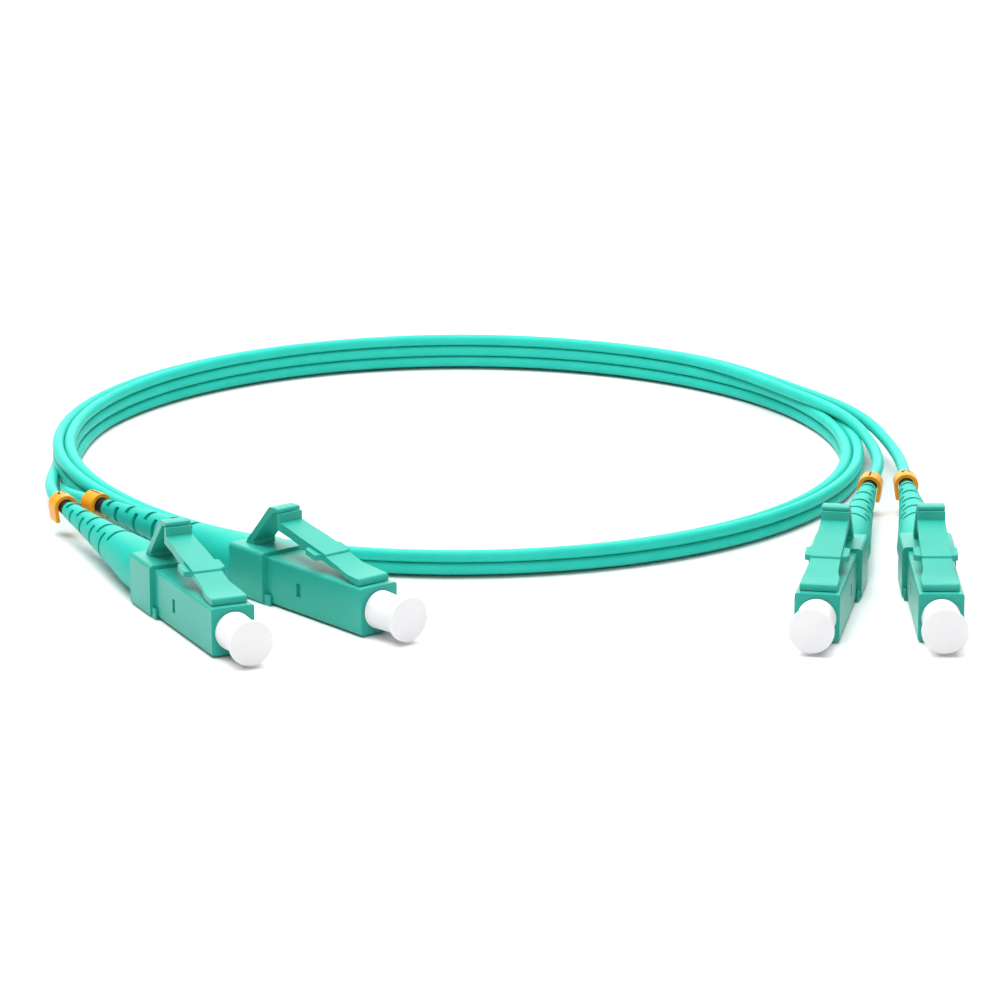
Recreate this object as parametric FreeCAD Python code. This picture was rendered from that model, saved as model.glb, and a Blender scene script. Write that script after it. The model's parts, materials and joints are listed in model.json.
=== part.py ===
"""Duplex fibre optic patch cord: two jackets wound as one pair, with a small-form plug on each end.

Millimetres, +Z up, X to the right, Y away from the plugs' dust caps.
The origin lies on the floor, under the middle of the four plugs.
Each plug is drawn in its own frame: the joint of its two housings is at y = 0, its caps are towards +Y,
its boot and cord are towards -Y, and the floor is z = 0.
"""

import FreeCAD, Part
import math
import os

V = FreeCAD.Vector

# The coil's middle line
COIL_CENTRE = (-4.5, 50.0)
COIL_HALF_WIDTH = 43.7
COIL_HALF_DEPTH = 44.9
COIL_LEFT = COIL_CENTRE[0] - COIL_HALF_WIDTH
COIL_RIGHT = COIL_CENTRE[0] + COIL_HALF_WIDTH

# Where each plug lies: the middle of its housing joint, from the coil's side, and its turn from
# facing straight ahead, in degrees.
PLUGS = {
    "left_front": (COIL_LEFT + 15.9, -8.8, 24.8),
    "left_back": (COIL_LEFT + 26.5, -3.6, 39.7),
    "right_inner": (COIL_RIGHT - 5.3, -3.2, -10.3),
    "right_outer": (COIL_RIGHT + 4.2, -3.0, -0.4),
}

# Clearances
PIN_GAP = 0.05
SLIDE_GAP = 0.1
FACE_GAP = 0.1

# Housings
NOSE_WIDTH = 4.5
NOSE_HEIGHT = 4.8
NOSE_LIFT = 0.2
AXIS_HEIGHT = NOSE_LIFT + NOSE_HEIGHT / 2
NOSE_LENGTH = 15.5
NOSE_ROUNDING = 0.3
REAR_WIDTH = 5.45
REAR_HEIGHT = 5.36
REAR_LENGTH = 5.5
REAR_ROUNDING = 0.45
SPIGOT_RADIUS = 1.9
SPIGOT_LENGTH = 2.2
SPIGOT_WALL = 0.3
SHOULDER_AT = 6.6
SHOULDER_THICKNESS = 0.8
BAND_LENGTH = 1.0
BAND_DEPTH = 0.05
KEY_SLOT_AT = 5.0
KEY_SLOT_WIDTH = 0.7
KEY_SLOT_HEIGHT = 1.4
KEY_SLOT_DEPTH = 0.3
SKIRT_LENGTH = 1.0
SKIRT_HEIGHT = 1.1
SKIRT_WIDTH = 5.1

# Ferrule and what is behind it
FERRULE_RADIUS = 0.625
FERRULE_TIP_AT = NOSE_LENGTH - 0.5
FERRULE_CHAMFER = 0.15
FLANGE_RADIUS = SPIGOT_RADIUS - SPIGOT_WALL - 0.25
FLANGE_LENGTH = 2.5
TAIL_RADIUS = FERRULE_RADIUS + 0.125
TAIL_LENGTH = 2.5
FERRULE_STROKE = 0.4
SPRING_WIRE = 0.28
SPRING_TURNS = 5
STOP_RADIUS = 1.8
STOP_FRONT_AT = 0.3
STOP_BORE_RADIUS = TAIL_RADIUS + SLIDE_GAP
STUB_RADIUS = 1.2
STUB_LENGTH = 3.4

# Latch arm and the trigger that presses it
LATCH_SETBACK = 0.8
LATCH_BARREL_RADIUS = 0.36
LATCH_WIDTH = 3.7
LATCH_PAD_WIDTH = 3.0
LATCH_WING_WIDTH = 4.4
LATCH_END_WIDTH = 2.8
LATCH_END_AT = 0.84
LATCH_PAD_TOP = 8.6
LATCH_LIP_TOP = 9.47
LATCH_LIP_LENGTH = 0.5
LATCH_THICKNESS = 0.85
LATCH_STEP_SHARE = 0.6
TRIGGER_WIDTH = 2.8
TRIGGER_TIP_AT = 1.05
TRIGGER_TIP_TOP = 9.92
TRIGGER_TIP_LENGTH = 0.85
TRIGGER_THICKNESS = 0.85
TRIGGER_PIVOT_AT = -3.8
TRIGGER_BARREL_RADIUS = 0.4
EAR_THICKNESS = 0.4
PIN_RADIUS = 0.2

# Dust cap
CAP_PLUG_RADIUS = 1.55
CAP_END_GAP = 0.6
CAP_NECK_RADIUS = 1.94
CAP_NECK_END_RADIUS = 1.72
CAP_DISC_RADIUS = 2.27
CAP_DISC_THICKNESS = 0.45
CAP_REACH = 4.8
CAP_BORE_GAP = 0.06

# Boot, its crimp sleeve and what sits on the cord behind it
BOOT_LENGTH = 25.2
BOOT_TILT = 1.3
BOOT_COLLAR_RADIUS = 2.6
BOOT_COLLAR_LENGTH = 4.0
BOOT_TIP_RADIUS = 0.9
BOOT_WAIST_SHARE = 0.5
BOOT_WAIST_RADIUS = 1.6
SLOT_WIDTH = 0.6
SLOT_ANGLE = 112.0
SLOT_PITCH = 3.65
SLOT_COUNT = 5
SLOT_FROM_TIP = 1.1
CRIMP_WALL = 0.3
CRIMP_LENGTH = 5.2
CRIMP_WEB = 0.8
SHRINK_WALL = 0.15
SHRINK_LENGTH = 1.5
RING_WIDTH = 2.6
RING_HEIGHT = 2.9
RING_WALL = 0.42
RING_MOUTH = 1.35
RING_LENGTH = 2.0
RING_AT = BOOT_LENGTH + 1.0

# Cord and the coil's layers
CORD_RADIUS = 0.65
LOW_LAYERS_HEIGHT = 2.9
TOP_LAYER_HEIGHT = 4.2
TOP_LAYER_FROM = 12.0
TOP_LAYER_TO = 215.0
LEAD_START = BOOT_LENGTH - 2.7
LEAD_STRAIGHT = RING_AT + RING_LENGTH + 1.15
BEND_SHARE = 0.45

# The points that each end of the cord passes between its ring and the coil, from the coil's side.
LEAD_POINTS = {
    "left_front": [
        (COIL_LEFT + 0.1, 29.5, 2.75),
        (COIL_LEFT - 0.4, 36.5, 2.0),
        (COIL_LEFT - 0.6, 43.0, 1.05),
        (COIL_LEFT - 0.65, 50.0, CORD_RADIUS),
    ],
    "left_back": [
        (COIL_LEFT + 2.7, 28.5, 2.15),
        (COIL_LEFT + 1.4, 33.8, 1.05),
        (COIL_LEFT + 0.8, 39.5, CORD_RADIUS),
        (COIL_LEFT + 0.65, 46.0, CORD_RADIUS),
    ],
    "right_inner": [
        (COIL_RIGHT + 1.9, 36.8, 2.75),
        (COIL_RIGHT + 2.5, 43.5, 2.3),
        (COIL_RIGHT + 2.1, 50.5, 2.5),
        (COIL_RIGHT + 0.7, 56.6, 3.0),
        (COIL_RIGHT - 1.3, 61.8, 3.2),
        (COIL_RIGHT - 3.8, 66.5, 3.25),
    ],
    "right_outer": [
        (COIL_RIGHT + 4.8, 37.6, 2.75),
        (COIL_RIGHT + 4.8, 44.4, 2.3),
        (COIL_RIGHT + 3.9, 51.2, 2.5),
        (COIL_RIGHT + 2.3, 57.4, 3.0),
        (COIL_RIGHT + 0.1, 62.6, 3.2),
        (COIL_RIGHT - 2.6, 67.2, 3.25),
    ],
}


def block(width, y0, y1, z0, z1):
    """A box that is centred on the plug's middle plane."""
    return Part.makeBox(width, y1 - y0, z1 - z0, V(-width / 2, y0, z0))


def rounded_block(width, y0, y1, z0, z1, rounding):
    """A box whose four long edges are rounded."""
    box = block(width, y0, y1, z0, z1)
    long_edges = [e for e in box.Edges if abs(e.tangentAt(e.FirstParameter).y) > 0.9]
    return box.makeFillet(rounding, long_edges)


def rod(radius, y0, y1):
    """A round bar on the ferrule's axis."""
    return Part.makeCylinder(radius, y1 - y0, V(0, y0, AXIS_HEIGHT), V(0, 1, 0))


def cross_rod(radius, width, y, z):
    """A round bar across the plug, centred on its middle plane."""
    return Part.makeCylinder(radius, width, V(-width / 2, y, z), V(1, 0, 0))


def side_shape(outline, width):
    """A side outline of (y, z) points, as wide as given and centred."""
    points = [V(-width / 2, y, z) for y, z in outline]
    face = Part.Face(Part.makePolygon(points + points[:1]))
    return face.extrude(V(width, 0, 0))


def plan_shape(half_outline, z0, z1):
    """A plan outline of (half width, y) points, mirrored, between two heights."""
    right = [V(x, y, z0) for x, y in half_outline]
    left = [V(-x, y, z0) for x, y in reversed(half_outline)]
    points = right + left
    face = Part.Face(Part.makePolygon(points + points[:1]))
    return face.extrude(V(0, 0, z1 - z0))


def ears(inner_width, y, z, floor, radius):
    """Two lugs with holes for the pins of a barrel between them."""
    outer_width = inner_width + 2 * EAR_THICKNESS
    upright = block(outer_width, y - radius, y + radius, floor, z)
    lug = upright.fuse(cross_rod(radius, outer_width, y, z))
    room = block(inner_width, y - 2 * radius, y + 2 * radius, floor, z + 2 * radius)
    holes = cross_rod(PIN_RADIUS + PIN_GAP, outer_width, y, z)
    return lug.cut(room).cut(holes)


def barrel(width, y, z, radius):
    """The hinge barrel of an arm, with a pin at each end."""
    pins = cross_rod(PIN_RADIUS, width + 2 * (EAR_THICKNESS + PIN_GAP), y, z)
    return cross_rod(radius, width, y, z).fuse(pins)


def latch_pivot():
    """Where the latch arm turns: y and z of its barrel."""
    y = NOSE_LENGTH - LATCH_SETBACK - LATCH_BARREL_RADIUS
    z = AXIS_HEIGHT + NOSE_HEIGHT / 2 + PIN_GAP + LATCH_BARREL_RADIUS
    return y, z


def trigger_pivot():
    """Where the trigger turns: y and z of its barrel."""
    return TRIGGER_PIVOT_AT, REAR_HEIGHT + PIN_GAP + TRIGGER_BARREL_RADIUS


def front_housing():
    """The square nose, with the ferrule's bore, the flange's shoulder, and the latch's lugs."""
    bottom = AXIS_HEIGHT - NOSE_HEIGHT / 2
    top = AXIS_HEIGHT + NOSE_HEIGHT / 2
    body = rounded_block(NOSE_WIDTH, 0, NOSE_LENGTH, bottom, top, NOSE_ROUNDING)
    front_of_shoulder = SHOULDER_AT + SHOULDER_THICKNESS
    body = body.cut(rod(CAP_PLUG_RADIUS + SLIDE_GAP, front_of_shoulder, NOSE_LENGTH))
    body = body.cut(rod(FERRULE_RADIUS + SLIDE_GAP, SHOULDER_AT, front_of_shoulder))
    body = body.cut(rod(SPIGOT_RADIUS - SPIGOT_WALL, 0, SHOULDER_AT))
    body = body.cut(rod(SPIGOT_RADIUS + PIN_GAP, 0, SPIGOT_LENGTH + FACE_GAP))
    band = block(2 * NOSE_WIDTH, 0, BAND_LENGTH, bottom - BAND_DEPTH, top + BAND_DEPTH)
    band_core = block(NOSE_WIDTH - 2 * BAND_DEPTH, 0, BAND_LENGTH, bottom + BAND_DEPTH, top - BAND_DEPTH)
    body = body.cut(band.cut(band_core))
    slot_low = AXIS_HEIGHT - KEY_SLOT_HEIGHT / 2
    slot_high = AXIS_HEIGHT + KEY_SLOT_HEIGHT / 2
    slot = block(2 * NOSE_WIDTH, KEY_SLOT_AT, KEY_SLOT_AT + KEY_SLOT_WIDTH, slot_low, slot_high)
    core = block(NOSE_WIDTH - 2 * KEY_SLOT_DEPTH, 0, NOSE_LENGTH, bottom, top)
    body = body.cut(slot.cut(core))
    y, z = latch_pivot()
    lug_gap = LATCH_WIDTH - 2 * EAR_THICKNESS
    return body.fuse(ears(lug_gap, y, z, top - PIN_GAP, LATCH_BARREL_RADIUS)).removeSplitter()


def rear_housing():
    """The wider rear block, with a low skirt and a spigot that hold the nose, and the trigger's lugs."""
    body = rounded_block(REAR_WIDTH, -REAR_LENGTH, 0, 0, REAR_HEIGHT, REAR_ROUNDING)
    nose_bottom = AXIS_HEIGHT - NOSE_HEIGHT / 2 - PIN_GAP
    nose_room = block(NOSE_WIDTH + 2 * PIN_GAP, 0, SKIRT_LENGTH, nose_bottom, REAR_HEIGHT)
    skirt = block(SKIRT_WIDTH, -FACE_GAP, SKIRT_LENGTH, 0, SKIRT_HEIGHT)
    body = body.fuse(skirt.cut(nose_room))
    body = body.fuse(rod(SPIGOT_RADIUS, -FACE_GAP, SPIGOT_LENGTH))
    body = body.cut(rod(SPIGOT_RADIUS - SPIGOT_WALL, -FACE_GAP, SPIGOT_LENGTH))
    body = body.cut(rod(STOP_RADIUS, -REAR_LENGTH, STOP_FRONT_AT))
    y, z = trigger_pivot()
    lug_gap = TRIGGER_WIDTH
    lugs = ears(lug_gap, y, z, REAR_HEIGHT - PIN_GAP, TRIGGER_BARREL_RADIUS)
    return body.fuse(lugs).removeSplitter()


def latch_arm():
    """The latch: a low front strip, a step up to a raised pad, side wings, and a lip at its rear end."""
    y, z = latch_pivot()
    arm_width = LATCH_WIDTH - 2 * EAR_THICKNESS - 2 * PIN_GAP
    root = barrel(arm_width, y, z, LATCH_BARREL_RADIUS)
    behind_lugs = y - LATCH_BARREL_RADIUS - PIN_GAP
    low_end = LATCH_PAD_TOP - LATCH_THICKNESS
    strip_top = z + LATCH_BARREL_RADIUS
    at = [LATCH_END_AT + share / 100 * (y - LATCH_END_AT) for share in range(101)]
    step_at = LATCH_END_AT + LATCH_STEP_SHARE * (y - LATCH_END_AT)
    strip = [
        (y, z - 0.2),
        (y, strip_top),
        (behind_lugs, strip_top),
        (at[87], strip_top + 0.08),
        (at[77], strip_top + 0.25),
        (step_at, strip_top + 0.75),
        (at[31], strip_top + 1.55),
        (LATCH_END_AT, low_end + 0.3),
        (LATCH_END_AT, low_end),
    ]
    strip_plan = [
        (arm_width / 2, y),
        (arm_width / 2, behind_lugs),
        (LATCH_WIDTH / 2, behind_lugs - 0.3),
        (LATCH_WIDTH / 2, at[90]),
        (LATCH_PAD_WIDTH / 2, at[72]),
        (LATCH_PAD_WIDTH / 2, at[57]),
        (LATCH_WING_WIDTH / 2, at[56]),
        (LATCH_WING_WIDTH / 2, at[41]),
        (LATCH_PAD_WIDTH / 2, at[40]),
        (LATCH_PAD_WIDTH / 2, at[23]),
        (LATCH_END_WIDTH / 2, at[15]),
        (LATCH_END_WIDTH / 2, LATCH_END_AT),
    ]
    pad = [
        (step_at, z + 0.9),
        (step_at - 0.1, z + 1.55),
        (LATCH_END_AT + LATCH_LIP_LENGTH, LATCH_PAD_TOP),
        (LATCH_END_AT + LATCH_LIP_LENGTH, LATCH_LIP_TOP),
        (LATCH_END_AT, LATCH_LIP_TOP),
        (LATCH_END_AT, low_end),
    ]
    pad_plan = [
        (LATCH_PAD_WIDTH / 2, step_at),
        (LATCH_PAD_WIDTH / 2, at[23]),
        (LATCH_END_WIDTH / 2, at[15]),
        (LATCH_END_WIDTH / 2, LATCH_END_AT),
    ]
    low = side_shape(strip, LATCH_WING_WIDTH).common(plan_shape(strip_plan, 0, LATCH_LIP_TOP))
    high = side_shape(pad, LATCH_WING_WIDTH).common(plan_shape(pad_plan, 0, LATCH_LIP_TOP))
    return root.fuse(low).fuse(high).removeSplitter()


def trigger_arm():
    """The trigger: a plate that leans forward, with a level tip over the latch's lip."""
    y, z = trigger_pivot()
    root = barrel(TRIGGER_WIDTH - 2 * PIN_GAP, y, z, TRIGGER_BARREL_RADIUS)
    tip_under = LATCH_LIP_TOP + PIN_GAP
    bend_at = TRIGGER_TIP_AT - TRIGGER_TIP_LENGTH
    plate = [
        (y - TRIGGER_THICKNESS / 2, z),
        (bend_at - TRIGGER_THICKNESS, TRIGGER_TIP_TOP - 0.15),
        (bend_at - TRIGGER_THICKNESS + 0.3, TRIGGER_TIP_TOP),
        (TRIGGER_TIP_AT - 0.15, TRIGGER_TIP_TOP),
        (TRIGGER_TIP_AT, TRIGGER_TIP_TOP - 0.15),
        (TRIGGER_TIP_AT, tip_under),
        (bend_at, tip_under),
        (y + TRIGGER_THICKNESS / 2, z),
    ]
    return root.fuse(side_shape(plate, TRIGGER_WIDTH - 2 * PIN_GAP)).removeSplitter()


def dust_cap():
    """The pull-off cap: a hollow plug inside the nose, a neck that narrows a little, and a thin end disc."""
    start = SHOULDER_AT + SHOULDER_THICKNESS + CAP_END_GAP
    neck_start = NOSE_LENGTH + FACE_GAP
    end = NOSE_LENGTH + CAP_REACH
    body = rod(CAP_PLUG_RADIUS, start, neck_start)
    foot = V(0, neck_start, AXIS_HEIGHT)
    neck = Part.makeCone(CAP_NECK_RADIUS, CAP_NECK_END_RADIUS, end - neck_start, foot, V(0, 1, 0))
    body = body.fuse(neck)
    body = body.fuse(rod(CAP_DISC_RADIUS, end - CAP_DISC_THICKNESS, end))
    return body.cut(rod(FERRULE_RADIUS + CAP_BORE_GAP, start, neck_start)).removeSplitter()


def ferrule():
    """The ceramic ferrule, with a bevelled tip."""
    start = SHOULDER_AT - FACE_GAP - FLANGE_LENGTH
    straight = rod(FERRULE_RADIUS, start, FERRULE_TIP_AT - FERRULE_CHAMFER)
    tip = Part.makeCone(
        FERRULE_RADIUS,
        FERRULE_RADIUS - FERRULE_CHAMFER,
        FERRULE_CHAMFER,
        V(0, FERRULE_TIP_AT - FERRULE_CHAMFER, AXIS_HEIGHT),
        V(0, 1, 0),
    )
    return straight.fuse(tip).removeSplitter()


def ferrule_flange():
    """The metal holder that is pressed on the ferrule's rear end, with the tube that guides the spring."""
    front = SHOULDER_AT - FACE_GAP
    back = front - FLANGE_LENGTH
    body = rod(FLANGE_RADIUS, back, front).cut(rod(FERRULE_RADIUS, back, front))
    return body.fuse(rod(TAIL_RADIUS, back - TAIL_LENGTH, back)).removeSplitter()


def spring():
    """The spring between the stop and the flange, as flat-wire turns that a narrow strip joins."""
    front = SHOULDER_AT - FACE_GAP - FLANGE_LENGTH - FERRULE_STROKE - FACE_GAP
    back = STOP_FRONT_AT
    pitch = (front - back - SPRING_WIRE) / (SPRING_TURNS - 1)
    inner = TAIL_RADIUS + SLIDE_GAP
    outer = inner + SPRING_WIRE
    strip = block(SPRING_WIRE, back, front, AXIS_HEIGHT, AXIS_HEIGHT + 2 * outer)
    coil = rod(outer, back, front).common(strip)
    for turn in range(SPRING_TURNS):
        start = back + turn * pitch
        coil = coil.fuse(rod(outer, start, start + SPRING_WIRE))
    return coil.cut(rod(inner, back, front)).removeSplitter()


def crimp_body():
    """The metal stop that is pressed in the rear housing, with the stub that the yarn is crimped on."""
    body = rod(STOP_RADIUS, -REAR_LENGTH, 0).fuse(rod(SPIGOT_RADIUS - SPIGOT_WALL, 0, STOP_FRONT_AT))
    body = body.fuse(rod(STUB_RADIUS, -REAR_LENGTH - STUB_LENGTH, -REAR_LENGTH))
    return body.cut(rod(STOP_BORE_RADIUS, -REAR_LENGTH - STUB_LENGTH, STOP_FRONT_AT)).removeSplitter()


def behind_housing(shape):
    """Turn a shape that is drawn along +Z, with +Y up, to the boot's tilted axis behind the rear housing."""
    shape.rotate(V(0, 0, 0), V(1, 0, 0), 90 - BOOT_TILT)
    shape.translate(V(0, -REAR_LENGTH, AXIS_HEIGHT))
    return shape


def sector(radius, length, middle_angle, angle):
    """A slice of a round bar along +Z, around one direction."""
    slice_ = Part.makeCylinder(radius, length, V(0, 0, 0), V(0, 0, 1), angle)
    slice_.rotate(V(0, 0, 0), V(0, 0, 1), middle_angle - angle / 2)
    return slice_


def crimp_sleeve():
    """The metal sleeve round the stub, whose rear end grips the cord."""
    outer = STUB_RADIUS + SLIDE_GAP + CRIMP_WALL
    body = Part.makeCylinder(outer, CRIMP_LENGTH - FACE_GAP, V(0, 0, FACE_GAP))
    body = body.cut(Part.makeCylinder(STUB_RADIUS + SLIDE_GAP, CRIMP_LENGTH - CRIMP_WEB))
    return behind_housing(body.cut(Part.makeCylinder(CORD_RADIUS, CRIMP_LENGTH)))


def boot():
    """The boot: a collar and a long taper, slotted by turns at top and bottom and at the sides."""
    waist_at = BOOT_COLLAR_LENGTH + BOOT_WAIST_SHARE * (BOOT_LENGTH - BOOT_COLLAR_LENGTH)
    outline = [
        V(0, 0, -0.2),
        V(BOOT_COLLAR_RADIUS, 0, -0.2),
        V(BOOT_COLLAR_RADIUS, 0, BOOT_COLLAR_LENGTH),
        V(BOOT_WAIST_RADIUS, 0, waist_at),
        V(BOOT_TIP_RADIUS, 0, BOOT_LENGTH),
        V(0, 0, BOOT_LENGTH),
    ]
    face = Part.Face(Part.makePolygon(outline + outline[:1]))
    body = face.revolve(V(0, 0, 0), V(0, 0, 1), 360)
    sleeve_radius = STUB_RADIUS + SLIDE_GAP + CRIMP_WALL
    body = body.cut(Part.makeCylinder(sleeve_radius, CRIMP_LENGTH + 0.2, V(0, 0, -0.2)))
    cord_room = CORD_RADIUS + PIN_GAP / 2
    body = body.cut(Part.makeCylinder(cord_room, BOOT_LENGTH))
    for number in range(2 * SLOT_COUNT - 1):
        at_side = number % 2
        place = BOOT_LENGTH - SLOT_FROM_TIP - number * SLOT_PITCH / 2
        for half in (0, 180):
            direction = 90 + half if not at_side else half
            cut = sector(BOOT_COLLAR_RADIUS, SLOT_WIDTH, direction, SLOT_ANGLE)
            cut.translate(V(0, 0, place - SLOT_WIDTH / 2))
            body = body.cut(cut)
    body = behind_housing(body)
    housing_room = block(2 * REAR_WIDTH, -REAR_LENGTH, 0, -REAR_HEIGHT, 2 * REAR_HEIGHT)
    return body.cut(housing_room)


def shrink_sleeve():
    """The short black sleeve on the cord, against the boot's tip, that enters the number ring."""
    body = Part.makeCylinder(CORD_RADIUS + SHRINK_WALL, SHRINK_LENGTH, V(0, 0, BOOT_LENGTH))
    return behind_housing(body.cut(Part.makeCylinder(CORD_RADIUS, 2 * BOOT_LENGTH)))


def id_ring():
    """The number ring: a round top that hangs on the black sleeve, and two legs with a gap between."""
    outer = RING_WIDTH / 2
    inner = outer - RING_WALL
    arc_centre = CORD_RADIUS + SHRINK_WALL + PIN_GAP - inner
    foot = arc_centre + outer - RING_HEIGHT
    mouth = RING_MOUTH / 2
    edges = [
        Part.Arc(V(outer, arc_centre, 0), V(0, arc_centre + outer, 0), V(-outer, arc_centre, 0)),
        Part.LineSegment(V(-outer, arc_centre, 0), V(-mouth - RING_WALL, foot, 0)),
        Part.LineSegment(V(-mouth - RING_WALL, foot, 0), V(-mouth, foot, 0)),
        Part.LineSegment(V(-mouth, foot, 0), V(-inner, arc_centre, 0)),
        Part.Arc(V(-inner, arc_centre, 0), V(0, arc_centre + inner, 0), V(inner, arc_centre, 0)),
        Part.LineSegment(V(inner, arc_centre, 0), V(mouth, foot, 0)),
        Part.LineSegment(V(mouth, foot, 0), V(mouth + RING_WALL, foot, 0)),
        Part.LineSegment(V(mouth + RING_WALL, foot, 0), V(outer, arc_centre, 0)),
    ]
    face = Part.Face(Part.Wire([e.toShape() for e in edges]))
    clip = face.extrude(V(0, 0, RING_LENGTH))
    clip.translate(V(0, 0, RING_AT))
    return behind_housing(clip)


def place_plug(shape, plug):
    """Move a piece from the plug's own frame to where that plug lies."""
    x, y, turn = PLUGS[plug]
    shape.rotate(V(0, 0, 0), V(0, 0, 1), turn + 180)
    shape.translate(V(x, y, 0))
    return shape


def on_boot_axis(plug, distance):
    """The point on a boot's axis at a distance behind its rear housing."""
    x, y, turn = PLUGS[plug]
    back = REAR_LENGTH + distance * math.cos(math.radians(BOOT_TILT))
    height = AXIS_HEIGHT + distance * math.sin(math.radians(BOOT_TILT))
    angle = math.radians(turn)
    return V(x - back * math.sin(angle), y + back * math.cos(angle), height)


def tube(name, points, radius):
    """A round cord along straight runs that are joined by tangent arcs."""
    edges = []
    start = points[0]
    for before, corner, after in zip(points, points[1:], points[2:]):
        inward = (corner - before).normalize()
        outward = (after - corner).normalize()
        turn = inward.getAngle(outward)
        reach = BEND_SHARE * min((corner - before).Length, (after - corner).Length)
        bend = reach / math.tan(turn / 2)
        print(name, "bend radius", round(bend, 1), "mm, turn", round(math.degrees(turn), 1))
        arc_start = corner - inward * reach
        arc_end = corner + outward * reach
        to_middle = (outward - inward).normalize() * (bend / math.cos(turn / 2) - bend)
        edges.append(Part.LineSegment(start, arc_start).toShape())
        edges.append(Part.Arc(arc_start, corner + to_middle, arc_end).toShape())
        start = arc_end
    edges.append(Part.LineSegment(start, points[-1]).toShape())
    path = Part.Wire(edges)
    section = Part.Wire([Part.Circle(points[0], points[1] - points[0], radius).toShape()])
    body = path.makePipeShell([section], True, False)
    expected = path.Length * math.pi * radius**2
    print(name, "length", round(path.Length, 1), "volume share", round(body.Volume / expected, 4))
    return body


def cord_lead(plug):
    """The uncoiled end of one jacket, from just inside the boot's tip to the coil."""
    first = [on_boot_axis(plug, LEAD_START), on_boot_axis(plug, LEAD_STRAIGHT)]
    return tube("cord_lead_" + plug, first + [V(*p) for p in LEAD_POINTS[plug]], CORD_RADIUS)


def oval(growth, height):
    """A solid oval of the coil's centre line, grown outwards."""
    x, y = COIL_CENTRE
    across = COIL_HALF_WIDTH + growth
    deep = COIL_HALF_DEPTH + growth
    side = V(x + across, y, 0)
    back = V(x, y + deep, 0)
    longer, shorter = (side, back) if across > deep else (back, side)
    edge = Part.Ellipse(longer, shorter, V(x, y, 0)).toShape()
    return Part.Face(Part.Wire([edge])).extrude(V(0, 0, height))


def cord_coil():
    """The outer shape of the wound pair: two layers all round, and a third layer over the left and back."""
    pair_half_width = 2 * CORD_RADIUS
    low = oval(pair_half_width, LOW_LAYERS_HEIGHT).cut(oval(-pair_half_width, LOW_LAYERS_HEIGHT))
    high = oval(pair_half_width, TOP_LAYER_HEIGHT).cut(oval(-pair_half_width, TOP_LAYER_HEIGHT))
    reach = 2 * COIL_HALF_DEPTH
    middle = (TOP_LAYER_FROM + TOP_LAYER_TO) / 2
    part_turn = sector(reach, TOP_LAYER_HEIGHT, middle, TOP_LAYER_TO - TOP_LAYER_FROM)
    part_turn.translate(V(COIL_CENTRE[0], COIL_CENTRE[1], 0))
    return low.fuse(high.common(part_turn)).removeSplitter()


PLUG_PIECES = {
    "front_housing": front_housing,
    "rear_housing": rear_housing,
    "latch_arm": latch_arm,
    "trigger_arm": trigger_arm,
    "dust_cap": dust_cap,
    "ferrule": ferrule,
    "ferrule_flange": ferrule_flange,
    "spring": spring,
    "crimp_body": crimp_body,
    "crimp_sleeve": crimp_sleeve,
    "boot": boot,
    "shrink_sleeve": shrink_sleeve,
    "id_ring": id_ring,
}

os.makedirs("parts", exist_ok=True)
shapes = {"cord_coil": cord_coil()}
for plug in PLUGS:
    shapes["cord_lead_" + plug] = cord_lead(plug)
    for piece, build in PLUG_PIECES.items():
        shapes[plug + "_" + piece] = place_plug(build(), plug)
for node, shape in shapes.items():
    solid = shape.Solids[0]
    print(node, "solids", len(shape.Solids), "valid", solid.isValid(), "volume", round(solid.Volume, 3))
    solid.exportStep("parts/" + node + ".step")
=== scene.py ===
"""Duplex fibre optic patch cord: two jackets wound as one pair, with a latching plug on all four ends."""

import json
import math

import bmesh
import bpy
from mathutils import Matrix, Vector


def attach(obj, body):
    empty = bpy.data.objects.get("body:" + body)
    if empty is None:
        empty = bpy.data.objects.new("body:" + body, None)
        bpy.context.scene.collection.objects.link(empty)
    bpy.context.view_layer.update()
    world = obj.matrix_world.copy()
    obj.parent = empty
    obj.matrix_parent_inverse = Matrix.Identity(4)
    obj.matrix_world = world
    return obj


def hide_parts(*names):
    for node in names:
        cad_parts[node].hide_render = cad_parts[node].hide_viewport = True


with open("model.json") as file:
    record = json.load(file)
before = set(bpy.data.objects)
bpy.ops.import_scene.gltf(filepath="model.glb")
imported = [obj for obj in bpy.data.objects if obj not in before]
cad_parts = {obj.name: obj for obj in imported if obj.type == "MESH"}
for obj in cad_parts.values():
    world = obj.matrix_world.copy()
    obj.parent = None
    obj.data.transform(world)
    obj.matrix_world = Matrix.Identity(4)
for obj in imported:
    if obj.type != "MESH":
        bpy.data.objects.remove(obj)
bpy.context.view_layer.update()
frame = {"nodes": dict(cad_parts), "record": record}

MM = 0.001


# ---- Studio -------------------------------------------------------------------------------
# A still-life table: a pale sweep under the cord, one large soft light overhead, a white panel
# behind that the level faces mirror, a weak front fill, and a long lens that looks slightly down.

camera_height = 141.8 * MM
camera_distance = 483.7 * MM
camera_pitch = 15.3
camera_to_right = 0.1 * MM

lens = bpy.data.cameras.new("long_lens")
lens.lens = 178.5
lens.sensor_width = 36.0
lens.clip_start = 0.01
camera = bpy.data.objects.new("camera", lens)
camera.location = (camera_to_right, -camera_distance, camera_height)
camera.rotation_euler = (math.radians(90 - camera_pitch), 0.0, 0.0)
bpy.context.collection.objects.link(camera)
bpy.context.scene.camera = camera


def soft_panel(name, place, aim, size, power):
    """A square light panel that faces a point."""
    light = bpy.data.lights.new(name, "AREA")
    light.shape = "SQUARE"
    light.size = size
    light.energy = power
    panel = bpy.data.objects.new(name, light)
    panel.location = place
    panel.rotation_euler = (Vector(aim) - Vector(place)).to_track_quat("-Z", "Y").to_euler()
    bpy.context.collection.objects.link(panel)


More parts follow.
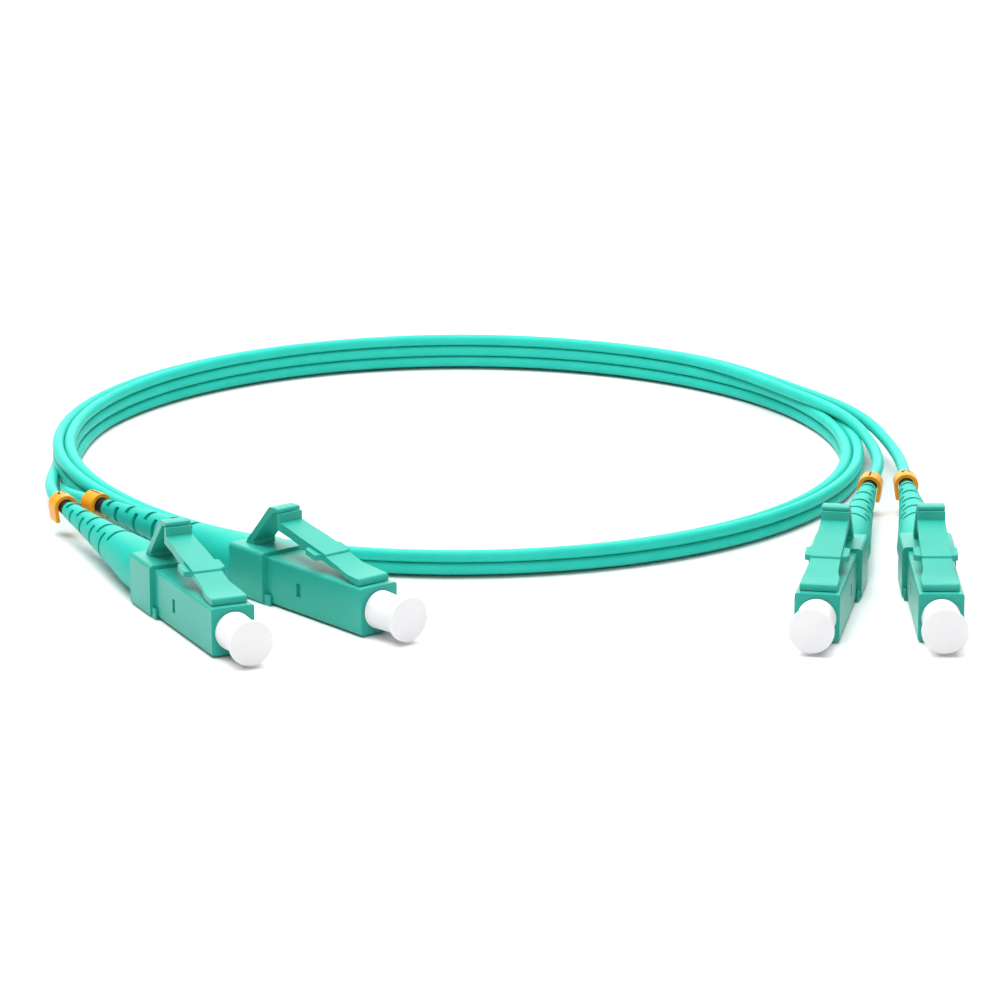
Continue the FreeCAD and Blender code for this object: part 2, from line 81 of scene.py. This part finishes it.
bpy.context.scene.view_settings.view_transform = "Standard"
table_middle = (0.0, 0.03, 0.0)
soft_panel("overhead_panel", (-0.08, 0.1, 0.6), table_middle, 0.7, 8.0)
soft_panel("rear_panel", (0.0, 0.9, 0.4), table_middle, 0.9, 3.5)
soft_panel("front_panel", (0.15, -0.7, 0.5), table_middle, 0.4, 1.2)

world = bpy.data.worlds.new("white_room")
bpy.context.scene.world = world
world.use_nodes = True
room = world.node_tree.nodes["Background"]
room.inputs["Color"].default_value = (1.0, 1.0, 1.0, 1.0)
room.inputs["Strength"].default_value = 0.4

sweep_mesh = bmesh.new()
bmesh.ops.create_grid(sweep_mesh, x_segments=1, y_segments=1, size=3.0)
sweep_data = bpy.data.meshes.new("table_sweep")
sweep_mesh.to_mesh(sweep_data)
sweep_mesh.free()
sweep = bpy.data.objects.new("table_sweep", sweep_data)
bpy.context.collection.objects.link(sweep)
sweep_paint = bpy.data.materials.new("sweep_paper")
sweep_paint.use_nodes = True
paper = sweep_paint.node_tree.nodes["Principled BSDF"]
paper.inputs["Base Color"].default_value = (0.82, 0.82, 0.82, 1.0)
paper.inputs["Roughness"].default_value = 0.9
paper.inputs["Specular IOR Level"].default_value = 0.1
sweep_data.materials.append(sweep_paint)


# ---- The two jackets ------------------------------------------------------------------------
# Two round PVC jackets of 1.3 mm lie side by side and are wound together in about 2.4 turns,
# each turn on the one before. At both ends they part and each runs to its own boot.

cord_radius = 0.65
boot_tilt = math.radians(1.3)
rear_length = 5.5
nose_length = 15.5
axis_height = 2.6
boot_length = 25.2
cord_in_boot = 2.7
ring_behind_boot = 1.0
ring_length = 2.0
straight_behind_ring = 1.15
lead_start = boot_length - cord_in_boot
lead_straight = boot_length + ring_behind_boot + ring_length + straight_behind_ring
coil_middle = Vector((-4.5, 50.0))
coil_half_width = 43.7
coil_half_depth = 44.9
pair_lean = math.radians(15)
turn_step = 15.0
turned_at_exit = 855.0
first_climb = 290.0
second_climb = 650.0
climb_length = 60.0

plug_places = {}
for mount in frame["record"]["mounts"]:
    if mount["name"].endswith("_plug"):
        ahead = Vector(mount["axis"])
        joint_place = Vector(mount["pos_m"]) - ahead * nose_length * MM
        joint_place.z = 0.0
        turn = math.atan2(ahead.y, ahead.x) - math.pi / 2
        placed = Matrix.Translation(joint_place) @ Matrix.Rotation(turn, 4, "Z")
        plug_places[mount["name"].removesuffix("_plug")] = placed


def on_boot_axis(plug, distance):
    """The point on a boot's axis at a distance in millimetres behind its rear housing."""
    back = rear_length + distance * math.cos(boot_tilt)
    height = axis_height + distance * math.sin(boot_tilt)
    return plug_places[plug] @ (Vector((0.0, -back, height)) * MM)


def eased(value):
    """A smooth step from 0 to 1."""
    value = min(max(value, 0.0), 1.0)
    return value * value * (3.0 - 2.0 * value)


def coil_point(turned, side):
    """A point of the coil after so many degrees of winding, on the outer (1) or inner (-1) jacket."""
    angle = math.radians(180.0 - turned)
    lean = -pair_lean * math.sin(angle)
    layer = eased((turned - first_climb) / climb_length) + eased((turned - second_climb) / climb_length)
    height = cord_radius * (1.0 + 2.0 * layer + side * math.sin(lean) + abs(math.sin(lean)))
    outward = side * cord_radius * math.cos(lean)
    widen = 1.0 / math.cos(math.radians(turn_step / 2))
    x = coil_middle.x + (coil_half_width + outward) * widen * math.cos(angle)
    y = coil_middle.y + (coil_half_depth + outward) * widen * math.sin(angle)
    return Vector((x, y, height)) * MM


leads = {
    "left_front": [(-48.1, 29.5, 2.75), (-48.6, 36.5, 2.0), (-48.8, 43.0, 1.05), (-48.85, 50.0, 0.65)],
    "left_back": [(-45.5, 28.5, 2.15), (-46.8, 33.8, 1.05), (-47.4, 39.5, 0.65), (-47.55, 46.0, 0.65)],
    "right_inner": [
        (41.1, 36.8, 2.75),
        (41.7, 43.5, 2.3),
        (41.3, 50.5, 2.5),
        (39.9, 56.6, 3.0),
        (37.9, 61.8, 3.2),
        (35.4, 66.5, 3.25),
    ],
    "right_outer": [
        (44.0, 37.6, 2.75),
        (44.0, 44.4, 2.3),
        (43.1, 51.2, 2.5),
        (41.5, 57.4, 3.0),
        (39.3, 62.6, 3.2),
        (36.6, 67.2, 3.25),
    ],
}


def linear(red, green, blue):
    """A display colour of 0 to 255 as the linear colour that a shader takes."""
    parts = []
    for level in (red, green, blue):
        share = level / 255
        parts.append(share / 12.92 if share <= 0.04045 else ((share + 0.055) / 1.055) ** 2.4)
    return (*parts, 1.0)


def moulded_finish(name, light_colour, dark_colour, roughness, grain, grain_depth, mirror=0.12):
    """A moulded or extruded plastic: faint cloudy colour, a fine surface grain and uneven gloss."""
    gloss_spread = 0.06
    paint = bpy.data.materials.new(name)
    paint.use_nodes = True
    nodes, links = paint.node_tree.nodes, paint.node_tree.links
    shader = nodes["Principled BSDF"]
    place = nodes.new("ShaderNodeTexCoord")
    cloud = nodes.new("ShaderNodeTexNoise")
    cloud.inputs["Scale"].default_value = 260.0
    cloud.inputs["Detail"].default_value = 3.0
    tint = nodes.new("ShaderNodeValToRGB")
    tint.color_ramp.elements[0].position = 0.3
    tint.color_ramp.elements[0].color = dark_colour
    tint.color_ramp.elements[1].position = 0.7
    tint.color_ramp.elements[1].color = light_colour
    fine = nodes.new("ShaderNodeTexNoise")
    fine.inputs["Scale"].default_value = grain
    fine.inputs["Detail"].default_value = 4.0
    gloss = nodes.new("ShaderNodeMapRange")
    gloss.inputs["To Min"].default_value = roughness - gloss_spread
    gloss.inputs["To Max"].default_value = roughness + gloss_spread
    bump = nodes.new("ShaderNodeBump")
    bump.inputs["Strength"].default_value = 0.35
    bump.inputs["Distance"].default_value = grain_depth * MM
    links.new(place.outputs["Object"], cloud.inputs["Vector"])
    links.new(place.outputs["Object"], fine.inputs["Vector"])
    links.new(cloud.outputs["Fac"], tint.inputs["Fac"])
    links.new(tint.outputs["Color"], shader.inputs["Base Color"])
    links.new(fine.outputs["Fac"], gloss.inputs["Value"])
    links.new(gloss.outputs["Result"], shader.inputs["Roughness"])
    links.new(fine.outputs["Fac"], bump.inputs["Height"])
    links.new(bump.outputs["Normal"], shader.inputs["Normal"])
    shader.inputs["Specular IOR Level"].default_value = mirror
    return paint


jacket_pvc = moulded_finish("jacket_pvc", linear(43, 190, 173), linear(38, 184, 167), 0.44, 5000.0, 0.02)

cord_ends = {"cord_outer": ("left_front", "right_outer", 1), "cord_inner": ("left_back", "right_inner", -1)}
for cord_name, (left_plug, right_plug, side) in cord_ends.items():
    route = [on_boot_axis(left_plug, lead_start), on_boot_axis(left_plug, lead_straight)]
    route += [Vector(point) * MM for point in leads[left_plug]]
    turned = turn_step
    while turned <= turned_at_exit:
        route.append(coil_point(turned, side))
        turned += turn_step
    route += [Vector(point) * MM for point in reversed(leads[right_plug])]
    route += [on_boot_axis(right_plug, lead_straight), on_boot_axis(right_plug, lead_start)]
    line = bpy.data.curves.new(cord_name, "CURVE")
    line.dimensions = "3D"
    line.resolution_u = 10
    line.bevel_depth = cord_radius * MM
    line.bevel_resolution = 5
    line.use_fill_caps = True
    spline = line.splines.new("NURBS")
    spline.points.add(len(route) - 1)
    for control, point in zip(spline.points, route):
        control.co = (*point, 1.0)
    spline.order_u = 3
    spline.use_endpoint_u = True
    line.materials.append(jacket_pvc)
    jacket = bpy.data.objects.new(cord_name, line)
    bpy.context.collection.objects.link(jacket)
    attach(jacket, "cord_set")
    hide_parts("cord_coil", "cord_lead_" + left_plug, "cord_lead_" + right_plug)


# ---- Ferrules and the metal behind them -------------------------------------------------------
# A ground zirconia ferrule is pressed in a nickel-plated holder. A flat-wire spring pushes it
# forward from the plated crimp body, and a crimp sleeve grips the cord behind that.


def machined_finish(name, colour, metallic, roughness, mark_scale):
    """A turned or ground surface: fine marks that make its tone and gloss uneven."""
    gloss_spread = 0.08
    darker = 0.85
    paint = bpy.data.materials.new(name)
    paint.use_nodes = True
    nodes, links = paint.node_tree.nodes, paint.node_tree.links
    shader = nodes["Principled BSDF"]
    shader.inputs["Metallic"].default_value = metallic
    place = nodes.new("ShaderNodeTexCoord")
    marks = nodes.new("ShaderNodeTexNoise")
    marks.inputs["Scale"].default_value = mark_scale
    marks.inputs["Detail"].default_value = 5.0
    tone = nodes.new("ShaderNodeValToRGB")
    tone.color_ramp.elements[0].color = tuple(darker * part for part in colour[:3]) + (1.0,)
    tone.color_ramp.elements[1].color = colour
    gloss = nodes.new("ShaderNodeMapRange")
    gloss.inputs["To Min"].default_value = roughness - gloss_spread
    gloss.inputs["To Max"].default_value = roughness + gloss_spread
    links.new(place.outputs["Object"], marks.inputs["Vector"])
    links.new(marks.outputs["Fac"], tone.inputs["Fac"])
    links.new(tone.outputs["Color"], shader.inputs["Base Color"])
    links.new(marks.outputs["Fac"], gloss.inputs["Value"])
    links.new(gloss.outputs["Result"], shader.inputs["Roughness"])
    return paint


zirconia = machined_finish("zirconia", linear(242, 241, 236), 0.0, 0.18, 3000.0)
nickel_plate = machined_finish("nickel_plate", linear(205, 203, 196), 1.0, 0.3, 2500.0)
spring_wire = machined_finish("spring_wire", linear(180, 180, 182), 1.0, 0.25, 4000.0)
core_finishes = {
    "ferrule": zirconia,
    "ferrule_flange": nickel_plate,
    "spring": spring_wire,
    "crimp_body": nickel_plate,
    "crimp_sleeve": nickel_plate,
}
for plug in plug_places:
    for piece, finish in core_finishes.items():
        core = frame["nodes"][plug + "_" + piece]
        core.data.materials.clear()
        core.data.materials.append(finish)


# ---- Front housings ---------------------------------------------------------------------------
# The nose is a square injection-moulded tube with a round bore for the adaptor's sleeve, small
# key slots at the sides and softly rounded edges. Its top is skimmed flat, and the latch, drawn
# as its own piece, springs from it near the front.

nose_top = 5.0
skim = 0.01
crease_angle = math.radians(32)


def merged_copy(node):
    """A CAD node's surface as one skin, with flat faces joined, for a finished piece to start from."""
    skin = bmesh.new()
    skin.from_mesh(frame["nodes"][node].data)
    bmesh.ops.remove_doubles(skin, verts=skin.verts, dist=0.001 * MM)
    bmesh.ops.dissolve_limit(skin, angle_limit=math.radians(0.5), verts=skin.verts, edges=skin.edges)
    return skin


def cut_above(skin, height):
    """Take off everything above a height and close the top."""
    everything = skin.verts[:] + skin.edges[:] + skin.faces[:]
    level = Vector((0.0, 0.0, height * MM))
    bmesh.ops.bisect_plane(skin, geom=everything, plane_co=level, plane_no=(0, 0, 1), clear_outer=True)
    rim = [edge for edge in skin.edges if edge.is_boundary]
    bmesh.ops.holes_fill(skin, edges=rim, sides=0)


def finished_piece(skin, name, finish, body, node, edge_width=0.0):
    """Turn a skin into a piece that stands for a CAD node, with softened edges."""
    for face in skin.faces:
        face.smooth = True
    for edge in skin.edges:
        edge.smooth = len(edge.link_faces) == 2 and edge.calc_face_angle(0.0) < crease_angle
    data = bpy.data.meshes.new(name)
    skin.to_mesh(data)
    skin.free()
    data.materials.append(finish)
    piece = bpy.data.objects.new(name, data)
    bpy.context.collection.objects.link(piece)
    if edge_width:
        soften = piece.modifiers.new("soft_edges", "BEVEL")
        soften.width = edge_width * MM
        soften.segments = 3
        soften.limit_method = "ANGLE"
        soften.angle_limit = crease_angle
        soften.harden_normals = True
    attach(piece, body)
    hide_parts(node)
    return piece


housing_plastic = moulded_finish(
    "housing_plastic", linear(44, 166, 149), linear(39, 159, 142), 0.34, 9000.0, 0.015, 0.22
)
for plug in plug_places:
    node = plug + "_front_housing"
    nose = merged_copy(node)
    cut_above(nose, nose_top - skim)
    finished_piece(nose, plug + "_nose", housing_plastic, "cord_set", node, 0.06)


# ---- Rear housings ----------------------------------------------------------------------------
# A wider moulded block takes the crimp body and snaps on the nose. The trigger rises from its
# top, and the boot's collar meets its rear face.

rear_top = 5.36
for plug in plug_places:
    node = plug + "_rear_housing"
    block = merged_copy(node)
    cut_above(block, rear_top - skim)
    finished_piece(block, plug + "_rear_block", housing_plastic, "cord_set", node, 0.06)


# ---- Latch arms -------------------------------------------------------------------------------
# The latch is moulded with the nose: a low strip that curves up from the front, a step to a raised
# pad with catch wings beside it, and a raised lip that the trigger presses on.

latch_front = 14.7
latch_step = 8.9
latch_end = 0.84
underside_front = 5.06
underside_rises_from = 14.0
underside_slope = 0.2044

strip_half_width = 1.85
strip_rounding = 0.36
strip_edge = 5.4
strip_front_run = 0.4
strip_rise = 1.02
strip_hollow = 1.8
strip_narrow_from = 10.5
strip_narrow_over = 2.6

pad_half_width = 1.5
pad_top_rear = 8.6
pad_slope = 0.217
pad_step_top = 6.84
pad_step_overlap = 0.02
pad_step_run = 0.08
pad_narrow_from = 2.8
pad_narrow_over = 2.2
end_half_width = 1.4

wing_front = 8.25
wing_rear = 6.25
wing_margin = 0.05
wing_front_blend = 0.2
wing_rear_blend = 0.25
wing_half_width = 2.2
wing_root_half_width = 1.45
wing_below_pad = 0.3

lip_front = 1.34
lip_run = 0.02
lip_top = 9.47


def underside(y):
    """The height of the latch's underside, in millimetres."""
    return underside_front + max(0.0, underside_rises_from - y) * underside_slope


def pad_top(y):
    """The height of the raised pad's top."""
    return pad_top_rear - (y - lip_front) * pad_slope


def strip_top(y):
    """The height of the front strip's top, rounded over at the front and hollow towards the step."""
    rounded_from = latch_front - strip_rounding
    if y > rounded_from:
        return strip_edge + math.sqrt(max(strip_rounding**2 - (y - rounded_from) ** 2, 0.0))
    along = (rounded_from - y) / (rounded_from - latch_step)
    return strip_edge + strip_rounding + strip_rise * along**strip_hollow


def drawn_bar(sections):
    """A closed bar through rectangular sections of (y, half width, low, high), in millimetres."""
    bar = bmesh.new()
    y, half, low, high = sections[0]
    corners = [(-half, y, low), (half, y, low), (half, y, high), (-half, y, high)]
    end = bar.faces.new([bar.verts.new(Vector(corner) * MM) for corner in corners])
    for y, half, low, high in sections[1:]:
        moved = bmesh.ops.extrude_face_region(bar, geom=[end], use_keep_orig=True)["geom"]
        end = [item for item in moved if isinstance(item, bmesh.types.BMFace)][0]
        centre_x = sum(vert.co.x for vert in end.verts) / 4
        centre_z = sum(vert.co.z for vert in end.verts) / 4
        for vert in end.verts:
            across = half if vert.co.x > centre_x else -half
            height = high if vert.co.z > centre_z else low
            vert.co = Vector((across, y, height)) * MM
    inner = [face for face in bar.faces if all(len(edge.link_faces) > 2 for edge in face.edges)]
    bmesh.ops.delete(bar, geom=inner, context="FACES_ONLY")
    bmesh.ops.recalc_face_normals(bar, faces=bar.faces)
    return bar


def steps_between(start, stop, count):
    """Evenly spaced values, both ends included."""
    return [start + (stop - start) * number / count for number in range(count + 1)]


strip_sections = []
rounded_places = steps_between(latch_front, latch_front - strip_front_run, 5)
for y in rounded_places + steps_between(underside_rises_from, latch_step, 12):
    wide = eased((y - strip_narrow_from) / strip_narrow_over)
    half = pad_half_width + (strip_half_width - pad_half_width) * wide
    strip_sections.append((y, half, underside(y), strip_top(y)))
wing_sections = []
for y in steps_between(wing_front + wing_margin, wing_rear - wing_margin, 20):
    spread = eased((wing_front - y) / wing_front_blend) * eased((y - wing_rear) / wing_rear_blend)
    half = wing_root_half_width + (wing_half_width - wing_root_half_width) * spread
    wing_sections.append((y, half, underside(y), pad_top(y) - wing_below_pad))
pad_sections = [(latch_step + pad_step_overlap, pad_half_width, underside(latch_step), pad_step_top)]
for y in steps_between(latch_step - pad_step_run, lip_front, 22):
    wide = eased((y - pad_narrow_from) / pad_narrow_over)
    half = end_half_width + (pad_half_width - end_half_width) * wide
    pad_sections.append((y, half, underside(y), pad_top(y)))
pad_sections.append((lip_front - lip_run, end_half_width, underside(lip_front), lip_top))
pad_sections.append((latch_end, end_half_width, underside(latch_end), lip_top))

for plug, placed in plug_places.items():
    arm = drawn_bar(strip_sections)
    for sections in (wing_sections, pad_sections):
        part = drawn_bar(sections)
        loose = bpy.data.meshes.new("latch_part")
        part.to_mesh(loose)
        part.free()
        arm.from_mesh(loose)
        bpy.data.meshes.remove(loose)
    arm.transform(placed)
    node = plug + "_latch_arm"
    finished_piece(arm, plug + "_latch", housing_plastic, plug + "_latch", node, 0.07)


# ---- Trigger arms -----------------------------------------------------------------------------
# A plate moulded on the rear housing leans forward over the latch. Its level tip rests just over
# the latch's lip, so pressing the plate frees the latch.

trigger_half_width = 1.38
trigger_outline = [
    (-3.1, 5.28),
    (-3.2, 5.75),
    (-1.6, 7.55),
    (0.0, 9.22),
    (0.2, 9.42),
    (0.42, 9.52),
    (1.05, 9.52),
    (1.05, 9.76),
    (1.0, 9.87),
    (0.88, 9.92),
    (-0.32, 9.92),
    (-0.5, 9.87),
    (-0.66, 9.74),
    (-2.5, 7.68),
    (-4.2, 5.82),
    (-4.5, 5.28),
]
for plug, placed in plug_places.items():
    plate = bmesh.new()
    outline = [plate.verts.new(Vector((-trigger_half_width, y, z)) * MM) for y, z in trigger_outline]
    near_side = plate.faces.new(outline)
    far = bmesh.ops.extrude_face_region(plate, geom=[near_side], use_keep_orig=True)["geom"]
    moved = [item for item in far if isinstance(item, bmesh.types.BMVert)]
    bmesh.ops.translate(plate, verts=moved, vec=Vector((2 * trigger_half_width * MM, 0.0, 0.0)))
    bmesh.ops.recalc_face_normals(plate, faces=plate.faces)
    plate.transform(placed)
    node = plug + "_trigger_arm"
    body = plug + "_trigger"
    finished_piece(plate, plug + "_trigger", housing_plastic, body, node, 0.06)


# ---- Boots ------------------------------------------------------------------------------------
# A soft moulded boot: a plain collar, then a long taper whose rear half is cut by thin slots, by
# turns at top and bottom and at the two sides, so that it bends with the cord.

collar_radius = 2.6
collar_length = 4.0
tip_radius = 0.9
boot_bore_radius = 0.68
slot_width = 0.6
slot_half_angle = 56.0
slot_pitch = 1.825
slot_count = 9
slot_from_tip = 1.1
slots_begin = 8.6
collar_chamfer = 0.12
taper_fullness = 0.25
tip_rounding = 0.25
bore_margin = 0.05
spin_steps = 48
boot_rubber = moulded_finish("boot_rubber", linear(30, 178, 161), linear(26, 171, 154), 0.46, 6000.0, 0.02)
# The slot floors get a darker green than the rubber: painted shade for the shade that falls in the slots.
slot_painted_shade = moulded_finish("slot_painted_shade", linear(6, 84, 72), linear(4, 74, 64), 0.6, 6000.0, 0.02)


def boot_radius(distance):
    """The boot's outside radius at a distance behind the rear housing."""
    along = min(max((distance - collar_length) / (boot_length - collar_length), 0.0), 1.0)
    narrowed = along + taper_fullness * along * (1.0 - along)
    return collar_radius - (collar_radius - tip_radius) * narrowed


slot_places = [boot_length - slot_from_tip - number * slot_pitch for number in range(slot_count)]
stations = [collar_chamfer] + steps_between(1.0, collar_length, 3) + steps_between(5.0, slots_begin, 4)
for place in reversed(slot_places):
    stations += [place - slot_width / 2, place + slot_width / 2]
stations += [boot_length - tip_rounding]
tip_corner = [(tip_radius - 0.02, boot_length - 0.08), (tip_radius - 0.1, boot_length)]
for plug, placed in plug_places.items():
    shell = bmesh.new()
    profile = [(boot_bore_radius, 0.0), (collar_radius - collar_chamfer, 0.0)]
    profile += [(boot_radius(station), station) for station in stations]
    profile += tip_corner + [(boot_bore_radius, boot_length)]
    chain = [shell.verts.new(Vector((radius, 0.0, along)) * MM) for radius, along in profile]
    edges = [shell.edges.new(pair) for pair in zip(chain, chain[1:])]
    bmesh.ops.spin(
        shell,
        geom=chain + edges,
        axis=(0, 0, 1),
        cent=(0, 0, 0),
        angle=2 * math.pi,
        steps=spin_steps,
        use_merge=True,
    )
    for number, place in enumerate(slot_places):
        middle = 90.0 if number % 2 == 0 else 0.0
        sunk = []
        for face in shell.faces:
            centre = face.calc_center_median() / MM
            in_bore = math.hypot(centre.x, centre.y) < boot_bore_radius + bore_margin
            if in_bore or abs(centre.z - place) > slot_width / 4:
                continue
            angle = math.degrees(math.atan2(centre.y, centre.x)) - middle
            folded = (angle + 90.0) % 180.0 - 90.0
            if abs(folded) < slot_half_angle:
                sunk.append(face)
        pushed = bmesh.ops.extrude_face_region(shell, geom=sunk)["geom"]
        bmesh.ops.delete(shell, geom=sunk, context="FACES")
        for face in [item for item in pushed if isinstance(item, bmesh.types.BMFace)]:
            # The sunk slot faces take the second material, the painted slot shade.
            face.material_index = 1
        for vert in [item for item in pushed if isinstance(item, bmesh.types.BMVert)]:
            outward = Vector((vert.co.x, vert.co.y, 0.0))
            vert.co -= outward.normalized() * (outward.length - boot_bore_radius * MM)
    bmesh.ops.recalc_face_normals(shell, faces=shell.faces)
    laid = Matrix.Translation(Vector((0.0, -rear_length, axis_height)) * MM)
    laid = placed @ laid @ Matrix.Rotation(math.pi / 2 - boot_tilt, 4, "X")
    shell.transform(laid)
    boot = finished_piece(shell, plug + "_boot_shell", boot_rubber, "cord_set", plug + "_boot")
    # The second material is the painted shade on the slot floors.
    boot.data.materials.append(slot_painted_shade)


# ---- Black sleeves and number rings -----------------------------------------------------------
# A short black sleeve sits on the cord at the boot's tip. Its black is partly a real sleeve and partly
# painted shade, filling the ring's opening where shade falls.
# An open ring of orange plastic with a printed digit is clipped over it, the same digit at both ends of a
# jacket.

# Near-black for the sleeve, partly its own colour and partly painted shade in the ring's opening, and for
# the printed digits.
sleeve_black = moulded_finish("sleeve_black", linear(36, 36, 38), linear(26, 26, 28), 0.5, 7000.0, 0.02)
ring_plastic = moulded_finish("ring_plastic", linear(230, 156, 42), linear(222, 147, 35), 0.3, 6000.0, 0.01)
ring_middle = boot_length + ring_behind_boot + ring_length / 2
ring_radius = 1.3
ring_axis_lift = -0.03
stroke_width = 0.2
ink_sunk = 0.03
ink_proud = 0.015
digit_strokes = {
    "cord_outer": [
        (-0.4, 0.4),
        (-0.25, 0.65),
        (0.12, 0.7),
        (0.4, 0.42),
        (0.28, 0.05),
        (-0.42, -0.7),
        (0.45, -0.7),
    ],
    "cord_inner": [(-0.3, 0.42), (0.02, 0.7), (0.02, -0.7)],
}


def on_ring(across, along, radius):
    """A point on a ring's round top, so far round it and along it from the middle, in millimetres."""
    angle = across / ring_radius
    place = (radius * math.sin(angle), ring_axis_lift + radius * math.cos(angle), ring_middle + along)
    return Vector(place) * MM


for cord_name, (left_plug, right_plug, _) in cord_ends.items():
    on_cord = []
    for plug in (left_plug, right_plug):
        sleeve = frame["nodes"][plug + "_shrink_sleeve"]
        # The sleeve is painted black; inside the ring's opening this black stands in for shade.
        sleeve.data.materials.clear()
        sleeve.data.materials.append(sleeve_black)
        node = plug + "_id_ring"
        clip = merged_copy(node)
        ring_name = plug + "_number_ring"
        ring = finished_piece(clip, ring_name, ring_plastic, plug + "_ring", node, 0.05)
        ink = bmesh.new()
        strokes = digit_strokes[cord_name]
        for start, stop in zip(strokes, strokes[1:]):
            forward = (Vector(stop) - Vector(start)).normalized() * stroke_width / 2
            sideways = Vector((-forward.y, forward.x))
            rear, front = Vector(start) - forward, Vector(stop) + forward
            outline = [rear + sideways, rear - sideways, front - sideways, front + sideways]
            corners = [ink.verts.new(on_ring(spot.x, spot.y, ring_radius - ink_sunk)) for spot in outline]
            sunk_face = ink.faces.new(corners)
            raised = bmesh.ops.extrude_face_region(ink, geom=[sunk_face], use_keep_orig=True)["geom"]
            raised_face = [item for item in raised if isinstance(item, bmesh.types.BMFace)][0]
            for corner, spot in zip(raised_face.verts, outline):
                corner.co = on_ring(spot.x, spot.y, ring_radius + ink_proud)
        bmesh.ops.recalc_face_normals(ink, faces=ink.faces)
        laid = Matrix.Translation(Vector((0.0, -rear_length, axis_height)) * MM)
        ink.transform(plug_places[plug] @ laid @ Matrix.Rotation(math.pi / 2 - boot_tilt, 4, "X"))
        digit_data = bpy.data.meshes.new(plug + "_digit")
        ink.to_mesh(digit_data)
        ink.free()
        # On the digits the near-black material is print.
        digit_data.materials.append(sleeve_black)
        digit = bpy.data.objects.new(plug + "_digit", digit_data)
        bpy.context.collection.objects.link(digit)
        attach(digit, plug + "_ring")
        on_cord += [sleeve, ring, digit]


# ---- Dust caps --------------------------------------------------------------------------------
# A soft white polyethylene cap: a hollow plug that grips the ferrule inside the nose, a neck, and
# an end disc to pull it by.

cap_polythene = moulded_finish(
    "cap_polythene", linear(228, 228, 229), linear(222, 222, 224), 0.4, 3000.0, 0.01
)
for plug in plug_places:
    node = plug + "_dust_cap"
    cap = merged_copy(node)
    finished_piece(cap, plug + "_cap_shell", cap_polythene, plug + "_cap", node, 0.08)
